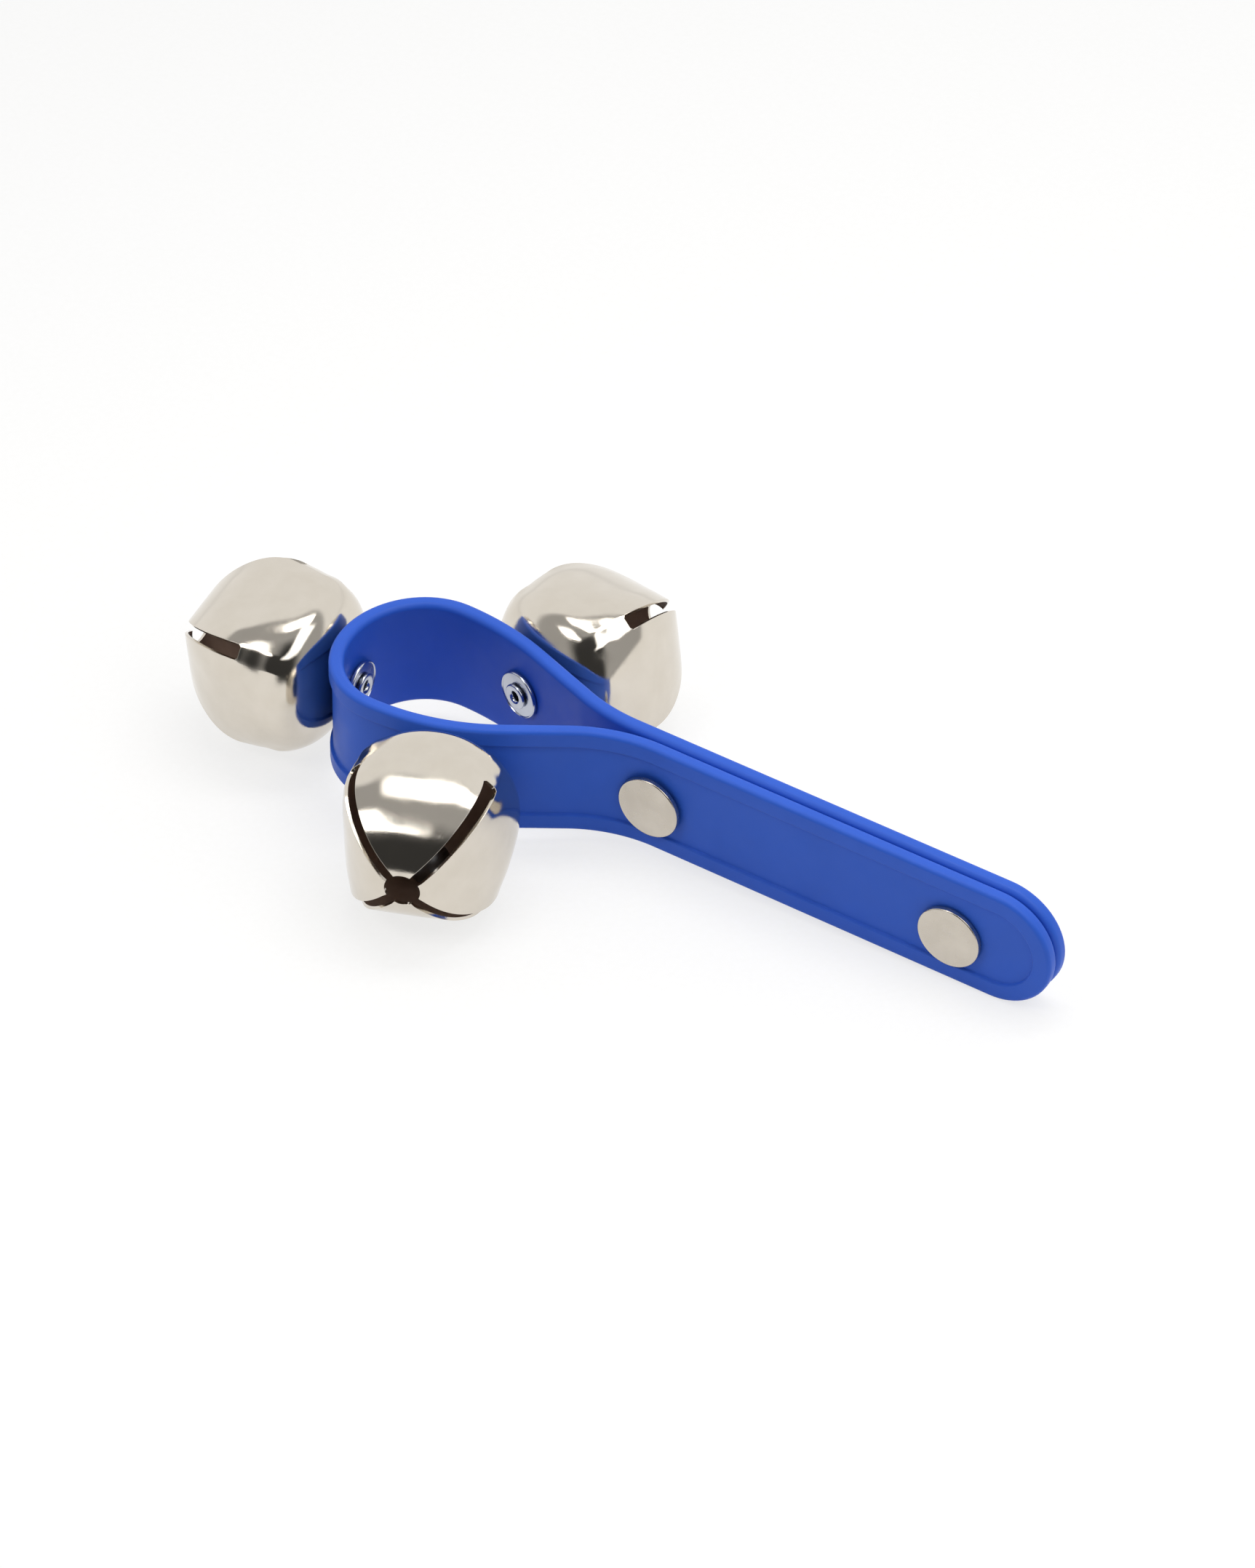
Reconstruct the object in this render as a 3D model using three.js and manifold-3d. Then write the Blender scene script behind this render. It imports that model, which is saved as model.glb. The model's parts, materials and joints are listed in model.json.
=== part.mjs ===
// Jingle bell stick: one moulded strap is folded double, its two ends are riveted together as a
// flat handle, and three bells with folded petals are riveted round the teardrop loop.
// Millimetres, +Z up. The handle runs along +X and the bells stand out sideways, as it lies on a table.

import * as THREE from 'three';
import { mergeVertices } from 'three/addons/utils/BufferGeometryUtils.js';
import Module from 'manifold-3d';

const wasm = await Module();
wasm.setup();

const degrees = Math.PI / 180;

// Strap section: a raised border runs round a sunk panel on the outer face.
const strapWidth = 26;
const strapThickness = 3.2;
const borderWidth = 4;
const panelDepth = 0.65;
const edgeRadius = 0.9;

// Strap route in plan, measured from the centre of the loop's blunt tip.
const tipReach = 16;
const sideReach = 17.6;
const handleReach = 148.4;
const handleOffset = 4.8;
const layerGap = 0.3;
const backFlank = { angle: 19.5 * degrees, sideRadius: 60, reverseRadius: 40 };
const frontFlank = { angle: 33 * degrees, sideRadius: 50, reverseRadius: 25 };

// Rivets. Those of the handle sit a little below the middle of the strap.
const handleRivetDrop = 1.8;
const shankRadius = 1.9;
const boreRadius = 1.1;
const boreDepth = 4;
const curlRadius = 0.35;
const bellHeadRadius = 4.5;
const bellHeadThickness = 1;
const capRadius = 7;
const capThickness = 1.15;
const capRound = 0.5;
const washerRadius = 5.25;
const washerThickness = 0.8;
const washerRound = 0.3;
const endRivetInset = 22.6;
const loopRivetSetback = 1.8;

// Where each bell's rivet goes through, from the strap's middle: along it and below it.
// The turn is how far the bell has swivelled.
const bellPosts = {
  tip: { along: 0, drop: 0.4, turn: -8 * degrees },
  back: { along: 45.3, drop: -0.8, turn: -10 * degrees },
  front: { along: -42.2, drop: 0.8, turn: 2 * degrees },
};

// Bell: a pressed cup whose front is cut into four petals, folded in until they meet round a hole.
const bellRadius = 17.35;
const bellLength = 35.4;
const bellWall = 0.7;
const cupDepth = 8.5;
const cupPower = 2.5;
const petalPower = 2.1;
const cornerGain = 0.245;
const squareFrom = 26;
const slotWidth = 2.6;
const slotAngle = 45 * degrees;
const slotEndRadius = 0.7;
const slotStart = 15.5;
const mouthRadius = 3.7;
const pelletRadius = 4.5;
const pelletStation = 13;

// Running clearance between pieces that touch or turn on each other.
const clearance = 0.3;

// Search for the pose in which the object lies on the table.
const steepestRest = 20 * degrees;
const restSteps = 24;
const restPasses = 3;

// Facets.
const arcStep = 7.5 * degrees;
const roundSteps = 20;
const bellSides = 36;
const cupRows = 4;
const petalRows = 6;

const panelHalf = strapWidth / 2 - borderWidth;
const layerHalf = (strapThickness + layerGap) / 2;
const outerFace = strapThickness / 2;
const panelFace = outerFace - panelDepth;
const endCentre = handleReach - strapWidth / 2;
const holeRadius = shankRadius + clearance;

const moulding = { color: 0x3a5fc8, roughness: 0.42, metalness: 0 };
const nickel = { color: 0xd8d2c4, roughness: 0.2, metalness: 1 };
const zinc = { color: 0xc9ccd4, roughness: 0.3, metalness: 1 };
const steel = { color: 0x8f9195, roughness: 0.35, metalness: 1 };

// Closed geometry to a solid for joins and cuts, and back again.
function toSolid(geometry) {
  const bare = geometry.clone();
  bare.deleteAttribute('normal');
  bare.deleteAttribute('uv');
  const merged = mergeVertices(bare, 1e-4);
  return new wasm.Manifold(new wasm.Mesh({
    numProp: 3,
    vertProperties: new Float32Array(merged.attributes.position.array),
    triVerts: new Uint32Array(merged.index.array),
  }));
}

function toGeometry(solid) {
  const mesh = solid.getMesh();
  const geometry = new THREE.BufferGeometry();
  geometry.setAttribute('position', new THREE.BufferAttribute(mesh.vertProperties, 3));
  geometry.setIndex(new THREE.BufferAttribute(mesh.triVerts, 1));
  geometry.computeVertexNormals();
  return geometry;
}

function part(name, geometry, finish) {
  const mesh = new THREE.Mesh(geometry, new THREE.MeshStandardMaterial(finish));
  mesh.name = name;
  return mesh;
}

// Rod of any radius along X, from one station to another.
function rodAlongX(radius, from, to) {
  const rod = new THREE.CylinderGeometry(radius, radius, to - from, roundSteps);
  rod.rotateZ(-Math.PI / 2);
  rod.translate((from + to) / 2, 0, 0);
  return rod;
}

// Revolved piece whose profile holds (radius, station) points and whose axis is X.
function revolved(profile) {
  const lathe = new THREE.LatheGeometry(profile, roundSteps);
  lathe.rotateZ(-Math.PI / 2);
  return lathe;
}

// Points of a quarter or half circle in a profile.
function arcPoints(x, y, radius, from, to, steps) {
  return Array.from({ length: steps + 1 }, (_, i) => {
    const angle = from + (to - from) * i / steps;
    return new THREE.Vector2(x + radius * Math.cos(angle), y + radius * Math.sin(angle));
  });
}

// One side of the teardrop: the loop eases into a straight flank, then curves back to the handle.
// Lengths are counted from the loop's centre towards that side.
function flankPoints({ angle, sideRadius, reverseRadius }, side) {
  const layer = side * handleOffset + layerHalf;
  const rise = 1 - Math.cos(angle);
  const startX = sideRadius * Math.sin(angle);
  const startY = sideReach - sideRadius * rise;
  const endY = layer + reverseRadius * rise;
  const endX = startX + (startY - endY) / Math.tan(angle);
  return {
    layer: side * layer,
    start: new THREE.Vector2(startX, side * startY),
    end: new THREE.Vector2(endX, side * endY),
    sideCentre: side * (sideReach - sideRadius),
    reverseX: endX + reverseRadius * Math.sin(angle),
    reverseCentre: side * (layer + reverseRadius),
  };
}

// Middle of the strap's thickness in plan, from the front end of the handle to its back end.
function strapRoute() {
  const quarter = Math.PI / 2;
  const front = flankPoints(frontFlank, -1);
  const back = flankPoints(backFlank, 1);
  const route = new THREE.Path();
  route.moveTo(handleReach, front.layer);
  route.lineTo(front.reverseX, front.layer);
  route.absarc(front.reverseX, front.reverseCentre, frontFlank.reverseRadius,
    quarter, quarter + frontFlank.angle, false);
  route.lineTo(front.start.x, front.start.y);
  route.absarc(0, front.sideCentre, frontFlank.sideRadius,
    3 * quarter + frontFlank.angle, 3 * quarter, true);
  route.absellipse(0, 0, tipReach, sideReach, 3 * quarter, quarter, true, 0);
  route.absarc(0, back.sideCentre, backFlank.sideRadius, quarter, quarter - backFlank.angle, true);
  route.lineTo(back.end.x, back.end.y);
  route.absarc(back.reverseX, back.reverseCentre, backFlank.reverseRadius,
    3 * quarter - backFlank.angle, 3 * quarter, false);
  route.lineTo(handleReach, back.layer);
  return route;
}

const route = strapRoute();
const routeLength = route.getLength();

// Outward direction of the strap's face for a direction of travel.
function outward(tangent) {
  return new THREE.Vector2(-tangent.y, tangent.x);
}

function stationAt(length) {
  const point = route.getPoint(length / routeLength);
  const normal = outward(route.getTangent(length / routeLength));
  return { point, normal };
}

// Stations for the sweep: the ends of each straight and even steps round each arc.
function sweepStations() {
  const stations = [];
  for (const curve of route.curves.filter((piece) => piece.getLength() > 1e-3)) {
    const turn = curve.isEllipseCurve ? Math.abs(curve.aEndAngle - curve.aStartAngle) : 0;
    const steps = Math.max(1, Math.ceil(turn / arcStep));
    for (let i = stations.length ? 1 : 0; i <= steps; i += 1) {
      const point = curve.getPoint(i / steps);
      const normal = outward(curve.getTangent(i / steps));
      stations.push({ point, normal });
    }
  }
  return stations;
}

// Solid swept along the stations. A profile point is (distance outward, height).
function sweep(profile, stations) {
  const count = profile.length;
  const positions = [];
  for (const { point, normal } of stations) {
    for (const { x, y } of profile) {
      positions.push(point.x + normal.x * x, point.y + normal.y * x, y);
    }
  }
  const faces = [];
  for (let row = 0; row + 1 < stations.length; row += 1) {
    for (let i = 0; i < count; i += 1) {
      const next = (i + 1) % count;
      const [a, b] = [row * count + i, row * count + next];
      faces.push(a, b, b + count, a, b + count, a + count);
    }
  }
  const last = (stations.length - 1) * count;
  for (const [a, b, c] of THREE.ShapeUtils.triangulateShape(profile, [])) {
    faces.push(a, c, b, last + a, last + b, last + c);
  }
  const geometry = new THREE.BufferGeometry();
  geometry.setAttribute('position', new THREE.Float32BufferAttribute(positions, 3));
  geometry.setIndex(faces);
  return geometry;
}

// Strap section with rounded edges.
function strapSection() {
  const x = outerFace - edgeRadius;
  const y = strapWidth / 2 - edgeRadius;
  const quarter = Math.PI / 2;
  return [[x, y], [-x, y], [-x, -y], [x, -y]].flatMap(([cx, cy], corner) => (
    arcPoints(cx, cy, edgeRadius, corner * quarter, (corner + 1) * quarter, 2)));
}

function panelSection() {
  const proud = outerFace + panelDepth;
  return [[panelFace, -panelHalf], [proud, -panelHalf], [proud, panelHalf], [panelFace, panelHalf]]
    .map(([x, y]) => new THREE.Vector2(x, y));
}

// Revolved end of one layer, its axis square to the handle.
function layerEnd(profile, layer) {
  const end = new THREE.LatheGeometry(profile, 2 * roundSteps);
  end.translate(endCentre, layer, 0);
  return toSolid(end);
}

// Everything short of the round ends, as a block to trim with.
function blockBeforeEnds() {
  const block = new THREE.BoxGeometry(2 * handleReach, 4 * sideReach, 2 * strapWidth);
  block.translate(endCentre - handleReach, 0, 0);
  return toSolid(block);
}

// Round end with the same rounded edge as the strap's sides.
function roundEndProfile() {
  const proud = outerFace + layerGap / 3;
  const rim = strapWidth / 2 - edgeRadius;
  const lip = outerFace - edgeRadius;
  return [
    new THREE.Vector2(0, -proud),
    new THREE.Vector2(rim, -proud),
    ...arcPoints(rim, -lip, edgeRadius, -Math.PI / 2, 0, 2),
    ...arcPoints(rim, lip, edgeRadius, 0, Math.PI / 2, 2),
    new THREE.Vector2(rim, proud),
    new THREE.Vector2(0, proud),
  ];
}

function panelEndProfile() {
  const reach = outerFace + 2 * panelDepth;
  return [[0, -reach], [panelHalf, -reach], [panelHalf, reach], [0, reach]]
    .map(([x, y]) => new THREE.Vector2(x, y));
}

// Hole through the strap at a rivet: a rod on the rivet's own axis.
function rivetHole(place, reach) {
  const rod = rodAlongX(holeRadius, -reach, reach);
  rod.applyMatrix4(place.matrix);
  return toSolid(rod);
}

function strap(bellPlaces, handlePlaces) {
  const stations = sweepStations();
  const layers = [flankPoints(frontFlank, -1).layer, flankPoints(backFlank, 1).layer];
  const trim = layers.reduce((whole, layer) => whole.add(layerEnd(roundEndProfile(), layer)),
    blockBeforeEnds());
  const panelTrim = layers.reduce((whole, layer) => whole.add(layerEnd(panelEndProfile(), layer)),
    blockBeforeEnds());
  const panel = toSolid(sweep(panelSection(), stations)).intersect(panelTrim);
  let body = toSolid(sweep(strapSection(), stations)).intersect(trim).subtract(panel);
  for (const place of bellPlaces) {
    body = body.subtract(rivetHole(place, strapThickness));
  }
  for (const place of handlePlaces) {
    body = body.subtract(rivetHole(place, 2 * strapThickness + layerGap));
  }
  return part('strap', toGeometry(body), moulding);
}

// Bell outline. The cup starts at the rivet, and the petals close in towards the mouth.
function cupRise(radius) {
  return cupDepth * (1 - (1 - (radius / bellRadius) ** cupPower) ** (1 / cupPower));
}

function bellHalfWidth(station) {
  const cup = station < cupDepth;
  const power = cup ? cupPower : petalPower;
  const share = cup ? 1 - station / cupDepth : (station - cupDepth) / (bellLength - cupDepth);
  return bellRadius * (1 - Math.min(1, share) ** power) ** (1 / power);
}

// The round cup grows corners towards the mouth, where the petals lie almost flat across.
function sectionPower(station) {
  const ramp = Math.sin(Math.PI / 2 * Math.min(1, station / squareFrom)) ** 2;
  return 1 / (0.5 - Math.log2(1 + cornerGain * ramp));
}

function bellStations() {
  const cup = Array.from({ length: cupRows }, (_, i) => (
    cupDepth * (1 - Math.cos((i + 1) / cupRows * Math.PI / 2))));
  const petal = Array.from({ length: petalRows - 1 }, (_, i) => (
    cupDepth + (bellLength - cupDepth) * Math.sin((i + 1) / petalRows * Math.PI / 2)));
  return [...cup, ...petal];
}

// Closed loft of the bell's sections along X, drawn in by an inset on every side.
function bellLoft(inset) {
  const shrink = (bellRadius - inset) / bellRadius;
  const along = (station) => inset + station * (bellLength - 2 * inset) / bellLength;
  const stations = bellStations();
  const positions = [along(0), 0, 0];
  for (const station of stations) {
    const half = bellHalfWidth(station) * shrink;
    const power = sectionPower(station);
    for (let i = 0; i < bellSides; i += 1) {
      const angle = i / bellSides * 2 * Math.PI;
      const [c, s] = [Math.cos(angle), Math.sin(angle)];
      const radius = half / (Math.abs(c) ** power + Math.abs(s) ** power) ** (1 / power);
      positions.push(along(station), radius * c, radius * s);
    }
  }
  positions.push(along(bellLength), 0, 0);
  const faces = [];
  const tip = 1 + stations.length * bellSides;
  const lastRow = tip - bellSides;
  for (let i = 0; i < bellSides; i += 1) {
    const next = (i + 1) % bellSides;
    faces.push(0, 1 + next, 1 + i, tip, lastRow + i, lastRow + next);
    for (let row = 0; row + 1 < stations.length; row += 1) {
      const a = 1 + row * bellSides + i;
      const b = 1 + row * bellSides + next;
      faces.push(a, b, b + bellSides, a, b + bellSides, a + bellSides);
    }
  }
  const geometry = new THREE.BufferGeometry();
  geometry.setAttribute('position', new THREE.Float32BufferAttribute(positions, 3));
  geometry.setIndex(faces);
  return toSolid(geometry);
}

// Blade that cuts two opposite slots, from the mouth back to a rounded end.
function slotBlade(turn) {
  const half = slotWidth / 2;
  const outline = new THREE.Shape();
  outline.moveTo(bellLength + slotWidth, -half);
  outline.lineTo(bellLength + slotWidth, half);
  outline.lineTo(slotStart + slotEndRadius, half);
  outline.absarc(slotStart + slotEndRadius, half - slotEndRadius, slotEndRadius,
    Math.PI / 2, Math.PI, false);
  outline.absarc(slotStart + slotEndRadius, slotEndRadius - half, slotEndRadius,
    Math.PI, 3 * Math.PI / 2, false);
  outline.closePath();
  const reach = 2 * bellRadius;
  const blade = new THREE.ExtrudeGeometry(outline, { depth: 2 * reach, bevelEnabled: false, curveSegments: 3 });
  blade.translate(0, 0, -reach);
  blade.rotateX(turn);
  return toSolid(blade);
}

function bellShell() {
  const mouth = toSolid(rodAlongX(mouthRadius, bellLength / 2, bellLength + slotWidth));
  const rivetBore = toSolid(rodAlongX(holeRadius, -cupDepth, cupDepth));
  const shell = bellLoft(0)
    .subtract(bellLoft(bellWall))
    .subtract(slotBlade(slotAngle))
    .subtract(slotBlade(-slotAngle))
    .subtract(mouth)
    .subtract(rivetBore);
  return toGeometry(shell);
}

// How far the strap's face comes out along a rivet's axis, within a disc round that axis.
function faceReach(length, face, discRadius, side) {
  const { point, normal } = stationAt(length);
  const samples = 24;
  let reach = -Infinity;
  for (let i = -samples; i <= samples; i += 1) {
    const near = stationAt(length + discRadius * i / samples);
    const spot = near.point.addScaledVector(near.normal, face).sub(point);
    reach = Math.max(reach, side * spot.dot(normal));
  }
  return reach;
}

// Curled end of a tubular rivet, from the shank out and round into the bore.
function curledEnd(seat) {
  const ring = shankRadius + boreRadius;
  const curlHalf = (shankRadius - boreRadius) / 2;
  return [
    new THREE.Vector2(shankRadius, seat),
    ...arcPoints(shankRadius, seat - curlRadius, curlRadius, Math.PI / 2, -Math.PI / 2, 5).slice(1),
    ...arcPoints(ring / 2, seat - 2 * curlRadius, curlHalf, -Math.PI / 2, -Math.PI, 2),
    new THREE.Vector2(boreRadius, seat - 2 * curlRadius + boreDepth),
    new THREE.Vector2(0, seat - 2 * curlRadius + boreDepth),
  ];
}

// Rivet along X: a low head at one end and a curled end at the other.
function rivet(headRadius, headThickness, headRound, headSeat, curlSeat) {
  const top = headSeat + headThickness;
  const profile = [
    ...curledEnd(curlSeat).reverse(),
    new THREE.Vector2(shankRadius, headSeat),
    new THREE.Vector2(headRadius, headSeat),
    ...arcPoints(headRadius - headRound, top - headRound, headRound, 0, Math.PI / 2, 3),
    new THREE.Vector2(0, top),
  ];
  return revolved(profile);
}

// Flat ring with eased edges, between a rivet's curled end and the strap.
function washer(seat) {
  const low = seat - washerThickness;
  const profile = [
    new THREE.Vector2(holeRadius, low),
    ...arcPoints(washerRadius - washerRound, low + washerRound, washerRound, -Math.PI / 2, 0, 2),
    new THREE.Vector2(washerRadius, seat),
    new THREE.Vector2(holeRadius, seat),
    new THREE.Vector2(holeRadius, low),
  ];
  return revolved(profile);
}

// Where the bell's cup first meets the strap: on the panel or on the border beside it.
function bellSeat(length, drop) {
  const borderDistance = panelHalf - Math.abs(drop);
  const onBorder = outerFace - cupRise(borderDistance);
  return Math.max(faceReach(length, panelFace, shankRadius, 1), onBorder) + clearance;
}

// Pellet's distance from the bell's axis when it rests against the petals or the cup.
function pelletOrbit() {
  const samples = 12;
  let orbit = bellRadius;
  for (let i = -samples; i <= samples; i += 1) {
    const along = pelletRadius * i / samples;
    const wall = bellHalfWidth(pelletStation + along) - bellWall;
    orbit = Math.min(orbit, wall - Math.sqrt(pelletRadius ** 2 - along ** 2));
  }
  return orbit - clearance;
}

// Rivet axis on the loop: X points out of the strap, Z stays up.
function bellPlace(length, drop) {
  const { point, normal } = stationAt(length);
  const place = new THREE.Group();
  place.position.set(point.x, point.y, -drop);
  place.rotation.z = Math.atan2(normal.y, normal.x);
  place.updateMatrix();
  return place;
}

// Rivet axis through both layers of the handle: X points out of the front.
function handlePlace(station) {
  const place = new THREE.Group();
  place.position.set(station, handleOffset, -handleRivetDrop);
  place.rotation.z = -Math.PI / 2;
  place.updateMatrix();
  return place;
}

// Height of the lowest point of some meshes.
function lowestPoint(meshes) {
  return Math.min(...meshes.map((mesh) => new THREE.Box3().setFromObject(mesh, true).min.z));
}

// Turns the whole object about one axis until two sets of meshes are equally low.
function level(whole, axis, rising, falling) {
  let [low, high] = [-steepestRest, steepestRest];
  for (let i = 0; i < restSteps; i += 1) {
    whole.rotation[axis] = (low + high) / 2;
    whole.updateMatrixWorld(true);
    const turnOn = lowestPoint(rising) < lowestPoint(falling);
    [low, high] = turnOn ? [whole.rotation[axis], high] : [low, whole.rotation[axis]];
  }
}

const middle = routeLength / 2;
const layersMeet = Math.max(flankPoints(frontFlank, -1).reverseX, flankPoints(backFlank, 1).reverseX);
const handlePosts = { end: handleReach - endRivetInset, loop: layersMeet + loopRivetSetback };

const lying = new THREE.Group();
const bellGeometry = bellShell();
const bells = {};
const bellPlaces = [];
for (const [where, { along, drop, turn }] of Object.entries(bellPosts)) {
  const length = middle + along;
  const place = bellPlace(length, drop);
  const seat = bellSeat(length, drop);
  const headSeat = seat + bellWall + cupRise(bellHeadRadius) + clearance;
  const washerSeat = -faceReach(length, -outerFace, washerRadius, -1) - clearance;
  const curlSeat = washerSeat - washerThickness - clearance;

  const bell = part(`bell_${where}`, bellGeometry, nickel);
  bell.position.x = seat;
  bell.rotation.x = turn;

  const pellet = part(`pellet_${where}`, new THREE.SphereGeometry(pelletRadius, 12, 8), steel);
  pellet.position.set(seat + pelletStation, 0, -pelletOrbit());

  const shank = rivet(bellHeadRadius, bellHeadThickness, capRound, headSeat, curlSeat);
  place.add(
    bell,
    pellet,
    part(`bell_rivet_${where}`, shank, zinc),
    part(`bell_washer_${where}`, washer(washerSeat), zinc),
  );
  bells[where] = bell;
  bellPlaces.push(place);
}

const handlePlaces = [];
for (const [where, station] of Object.entries(handlePosts)) {
  const place = handlePlace(station);
  const inset = handleReach - station;
  const capSeat = layerHalf + faceReach(inset, panelFace, capRadius, 1) + clearance;
  const backReach = faceReach(routeLength - inset, panelFace, washerRadius, 1);
  const washerSeat = -layerHalf - backReach - clearance;
  const curlSeat = washerSeat - washerThickness - clearance;
  const shank = rivet(capRadius, capThickness, capRound, capSeat, curlSeat);
  place.add(
    part(`handle_rivet_${where}`, shank, nickel),
    part(`handle_washer_${where}`, washer(washerSeat), zinc),
  );
  handlePlaces.push(place);
}

const strapMesh = strap(bellPlaces, handlePlaces);
lying.add(strapMesh, ...bellPlaces, ...handlePlaces);

// It lies on its two side bells and on the end of the handle.
for (let pass = 0; pass < restPasses; pass += 1) {
  level(lying, 'x', [bells.back], [bells.front]);
  level(lying, 'y', [bells.back, bells.front], [strapMesh]);
}

// The origin is at the middle of the object's footprint, on the table.
const bounds = new THREE.Box3().setFromObject(lying, true);
const footprint = bounds.getCenter(new THREE.Vector3());
lying.position.set(-footprint.x, -footprint.y, -bounds.min.z);

const jingleBellStick = new THREE.Group();
jingleBellStick.add(lying);

export default jingleBellStick;
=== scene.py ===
"""Jingle bell stick: a folded vinyl strap with three riveted bells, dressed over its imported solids.

The panel in the 3D view's sidebar has one operator for each kind of piece and one for the studio.
"""

import bisect
import json
import math

import bmesh
import bpy
from bpy.props import FloatProperty, FloatVectorProperty, PointerProperty
from mathutils import Matrix, Vector


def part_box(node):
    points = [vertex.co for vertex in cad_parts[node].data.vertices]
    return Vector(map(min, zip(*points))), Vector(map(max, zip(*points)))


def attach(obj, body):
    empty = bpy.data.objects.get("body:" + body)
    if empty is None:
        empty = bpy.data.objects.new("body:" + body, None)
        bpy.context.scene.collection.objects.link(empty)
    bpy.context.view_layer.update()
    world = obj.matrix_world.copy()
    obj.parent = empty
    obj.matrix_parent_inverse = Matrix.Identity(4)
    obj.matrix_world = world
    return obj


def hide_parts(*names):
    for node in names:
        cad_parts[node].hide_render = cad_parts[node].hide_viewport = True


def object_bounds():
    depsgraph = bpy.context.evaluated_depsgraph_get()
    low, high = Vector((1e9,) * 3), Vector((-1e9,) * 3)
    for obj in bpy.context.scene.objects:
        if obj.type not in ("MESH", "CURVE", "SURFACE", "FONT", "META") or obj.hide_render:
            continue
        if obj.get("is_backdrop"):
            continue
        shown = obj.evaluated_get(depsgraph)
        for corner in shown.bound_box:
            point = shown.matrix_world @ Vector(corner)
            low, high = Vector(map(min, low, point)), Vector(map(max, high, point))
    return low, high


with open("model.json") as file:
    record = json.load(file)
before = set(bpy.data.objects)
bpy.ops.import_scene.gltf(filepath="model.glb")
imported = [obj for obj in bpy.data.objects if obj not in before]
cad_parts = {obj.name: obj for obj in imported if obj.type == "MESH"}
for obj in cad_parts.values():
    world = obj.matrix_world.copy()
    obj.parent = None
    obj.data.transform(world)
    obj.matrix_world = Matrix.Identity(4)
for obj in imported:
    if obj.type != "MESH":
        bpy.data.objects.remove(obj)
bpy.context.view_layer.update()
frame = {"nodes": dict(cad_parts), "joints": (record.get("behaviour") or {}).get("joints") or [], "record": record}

bl_info = {
    "name": "Jingle Bell Stick",
    "version": (1, 0, 0),
    "blender": (4, 5, 0),
    "location": "View3D > Sidebar > Jingle Bells",
    "description": "Models a folded strap with riveted jingle bells over its packed solids",
    "category": "Add Mesh",
}

MM = 0.001
# Points closer together than this count as one.
WELD = 0.001 * MM
EIGHTH_TURN = math.pi / 4
QUARTER_TURN = math.pi / 2
HALF_TURN = math.pi
FULL_TURN = 2 * math.pi
WHITE = (1, 1, 1, 1)
BELLS = ("tip", "back", "front")
HANDLE_RIVETS = ("end", "loop")
STRAP_BODY = "handle_and_loop"


# Kinds of setting

def linear(code):
    """Linear colour for an sRGB hex value."""
    channels = [int(code[i:i + 2], 16) / 255 for i in (1, 3, 5)]
    return [c / 12.92 if c <= 0.04045 else ((c + 0.055) / 1.055) ** 2.4 for c in channels]


def length(name, millimetres, description):
    """Setting for a length, given in millimetres and kept in metres."""
    return FloatProperty(name=name, description=description, default=millimetres * MM,
                         precision=5, unit="LENGTH")


def angle(name, degrees, description):
    """Setting for an angle, given in degrees and kept in radians."""
    return FloatProperty(name=name, description=description, default=math.radians(degrees),
                         subtype="ANGLE")


def number(name, value, description):
    """Setting for a plain number."""
    return FloatProperty(name=name, description=description, default=value)


def colour(name, code, description):
    """Setting for a colour, given as an sRGB hex value and kept linear."""
    return FloatVectorProperty(name=name, description=description, default=linear(code),
                               size=3, min=0, max=1, subtype="COLOR")


class StrapSizes(bpy.types.PropertyGroup):
    """The moulded strap, folded once into a teardrop loop and a double handle."""

    width: length("Width", 26, "Width of the strap")
    thickness: length("Thickness", 3.2, "Thickness of the strap at its border")
    border: length("Border", 4, "Width of the raised border")
    panel_depth: length("Panel depth", 0.65, "How far the panel is sunk below the border")
    panel_draft: length("Panel draft", 0.25, "How far the border's inner wall leans out")
    edge_round: length("Edge rounding", 0.9, "Radius of the edges on the strap's outer face")
    inner_round: length("Inner edge rounding", 1.3, "Radius of the edges on the strap's inner face")
    step_round: length("Step rounding", 0.25, "Radius of the border's inner edge")
    step_foot: length("Step foot", 0.08, "Radius where the border's inner wall meets the panel")
    tip_reach: length("Tip reach", 16, "From the loop's centre to the strap's middle at the tip")
    side_reach: length("Side reach", 17.6, "From the loop's centre to the strap's middle at the sides")
    handle_reach: length("Handle reach", 148.4, "From the loop's centre to the end of the handle")
    handle_offset: length("Handle offset", 4.8, "How far the handle lies behind the loop's centre")
    layer_gap: length("Layer gap", 0.3, "Gap between the two layers of the handle")
    back_angle: angle("Back angle", 19.5, "Slope of the loop's back flank")
    back_side: length("Back side radius", 60, "Radius from the loop into its back flank")
    back_reverse: length("Back reverse radius", 40, "Radius from the back flank into the handle")
    front_angle: angle("Front angle", 33, "Slope of the loop's front flank")
    front_side: length("Front side radius", 50, "Radius from the loop into its front flank")
    front_reverse: length("Front reverse radius", 34, "Radius from the front flank into the handle")


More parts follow.
